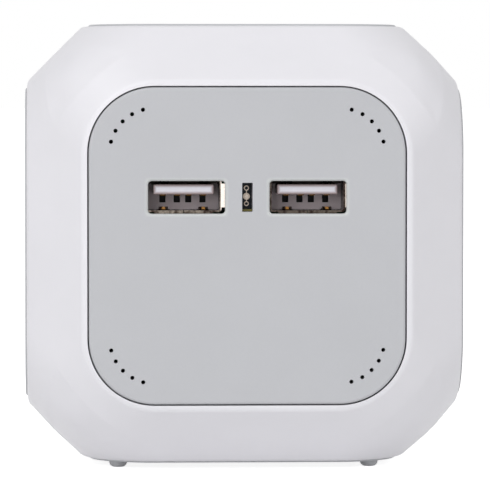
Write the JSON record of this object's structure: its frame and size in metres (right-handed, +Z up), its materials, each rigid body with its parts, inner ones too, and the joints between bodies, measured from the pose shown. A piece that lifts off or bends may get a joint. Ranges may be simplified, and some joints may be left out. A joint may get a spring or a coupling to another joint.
{
  "type": "cube power strip",
  "caption": "Cube-shaped mains power strip: white housing with bevelled edges, grey face panels, USB charging ports in front and earthed sockets on the other faces.",
  "frame": {"origin": "under the middle of the cube, level with the bottom of its nubs", "axes": "+Z up; the front panel with the USB ports faces -Y; +X to the right seen from the front"},
  "size_m": [0.077, 0.077, 0.0781],
  "materials": {
    "white_housing": "moulded ABS, soft gloss",
    "grey_panel": "moulded polycarbonate, satin",
    "shutter_plastic": "moulded polyamide",
    "carrier_plastic": "moulded thermoset",
    "spring_steel": "bright spring steel",
    "screw_steel": "zinc plated",
    "contact_brass": "stamped brass",
    "earth_metal": "nickel plated",
    "usb_shell_steel": "tin plated",
    "usb_tongue_plastic": "white thermoplastic",
    "usb_contact_gilt": "gilt",
    "board_laminate": "glass laminate with green mask",
    "ferrite": "ferrite",
    "winding": "copper wire under polyester tape",
    "capacitor_can": "sleeved aluminium can",
    "component_plastic": "moulded epoxy",
    "led_holder_plastic": "black nylon",
    "led_epoxy": "dark cast epoxy",
    "led_metal": "silvered copper",
    "inlet_rubber": "grey moulded rubber"
  },
  "bodies": {
    "root": {"base_panel": "grey_panel", "board_screws": "screw_steel", "carrier_screws": "screw_steel", "contact_carrier_left": "carrier_plastic", "contact_carrier_rear": "carrier_plastic", "contact_carrier_right": "carrier_plastic", "contact_carrier_top": "carrier_plastic", "control_chip": "component_plastic", "earth_clip_left": "earth_metal", "earth_clip_rear": "earth_metal", "earth_clip_right": "earth_metal", "earth_clip_top": "earth_metal", "earth_link": "earth_metal", "film_capacitor": "component_plastic", "front_panel": "grey_panel", "fuse": "component_plastic", "housing_front": "white_housing", "housing_rear": "white_housing", "housing_screws": "screw_steel", "inlet_gland": "inlet_rubber", "input_capacitor": "capacitor_can", "led_body": "led_epoxy", "led_frame": "led_metal", "led_holder": "led_holder_plastic", "live_contact_left": "contact_brass", "live_contact_rear": "contact_brass", "live_contact_right": "contact_brass", "live_contact_top": "contact_brass", "live_link": "contact_brass", "neutral_contact_left": "contact_brass", "neutral_contact_rear": "contact_brass", "neutral_contact_right": "contact_brass", "neutral_contact_top": "contact_brass", "neutral_link": "contact_brass", "output_capacitors": "capacitor_can", "shutter_spring_left": "spring_steel", "shutter_spring_rear": "spring_steel", "shutter_spring_right": "spring_steel", "shutter_spring_top": "spring_steel", "socket_panel_left": "grey_panel", "socket_panel_rear": "grey_panel", "socket_panel_right": "grey_panel", "socket_panel_top": "grey_panel", "transformer_core": "ferrite", "transformer_winding": "winding", "usb_board": "board_laminate", "usb_contacts_left": "usb_contact_gilt", "usb_contacts_right": "usb_contact_gilt", "usb_shell_left": "usb_shell_steel", "usb_shell_right": "usb_shell_steel", "usb_tongue_left": "usb_tongue_plastic", "usb_tongue_right": "usb_tongue_plastic"},
    "shutter_left": {"shutter_left": "shutter_plastic"},
    "shutter_right": {"shutter_right": "shutter_plastic"},
    "shutter_top": {"shutter_top": "shutter_plastic"},
    "shutter_rear": {"shutter_rear": "shutter_plastic"}
  },
  "joints": [
    {"name": "shutter_left_turn", "type": "hinge", "parent": "root", "child": "shutter_left", "pos_m": [-0.0167, 0, 0.0396], "axis": [1, 0, 0], "range_deg": [0, 38], "stiffness_Nm_per_rad": 0.004, "springref_deg": -20.05, "deforming": ["shutter_spring_left"]},
    {"name": "shutter_right_turn", "type": "hinge", "parent": "root", "child": "shutter_right", "pos_m": [0.0167, 0, 0.0396], "axis": [-1, 0, 0], "range_deg": [0, 38], "stiffness_Nm_per_rad": 0.004, "springref_deg": -20.05, "deforming": ["shutter_spring_right"]},
    {"name": "shutter_top_turn", "type": "hinge", "parent": "root", "child": "shutter_top", "pos_m": [0, 0, 0.0563], "axis": [0, 0, -1], "range_deg": [0, 38], "stiffness_Nm_per_rad": 0.004, "springref_deg": -20.05, "deforming": ["shutter_spring_top"]},
    {"name": "shutter_rear_turn", "type": "hinge", "parent": "root", "child": "shutter_rear", "pos_m": [0, 0.0167, 0.0396], "axis": [0, -1, 0], "range_deg": [0, 38], "stiffness_Nm_per_rad": 0.004, "springref_deg": -20.05, "deforming": ["shutter_spring_rear"]}
  ]
}
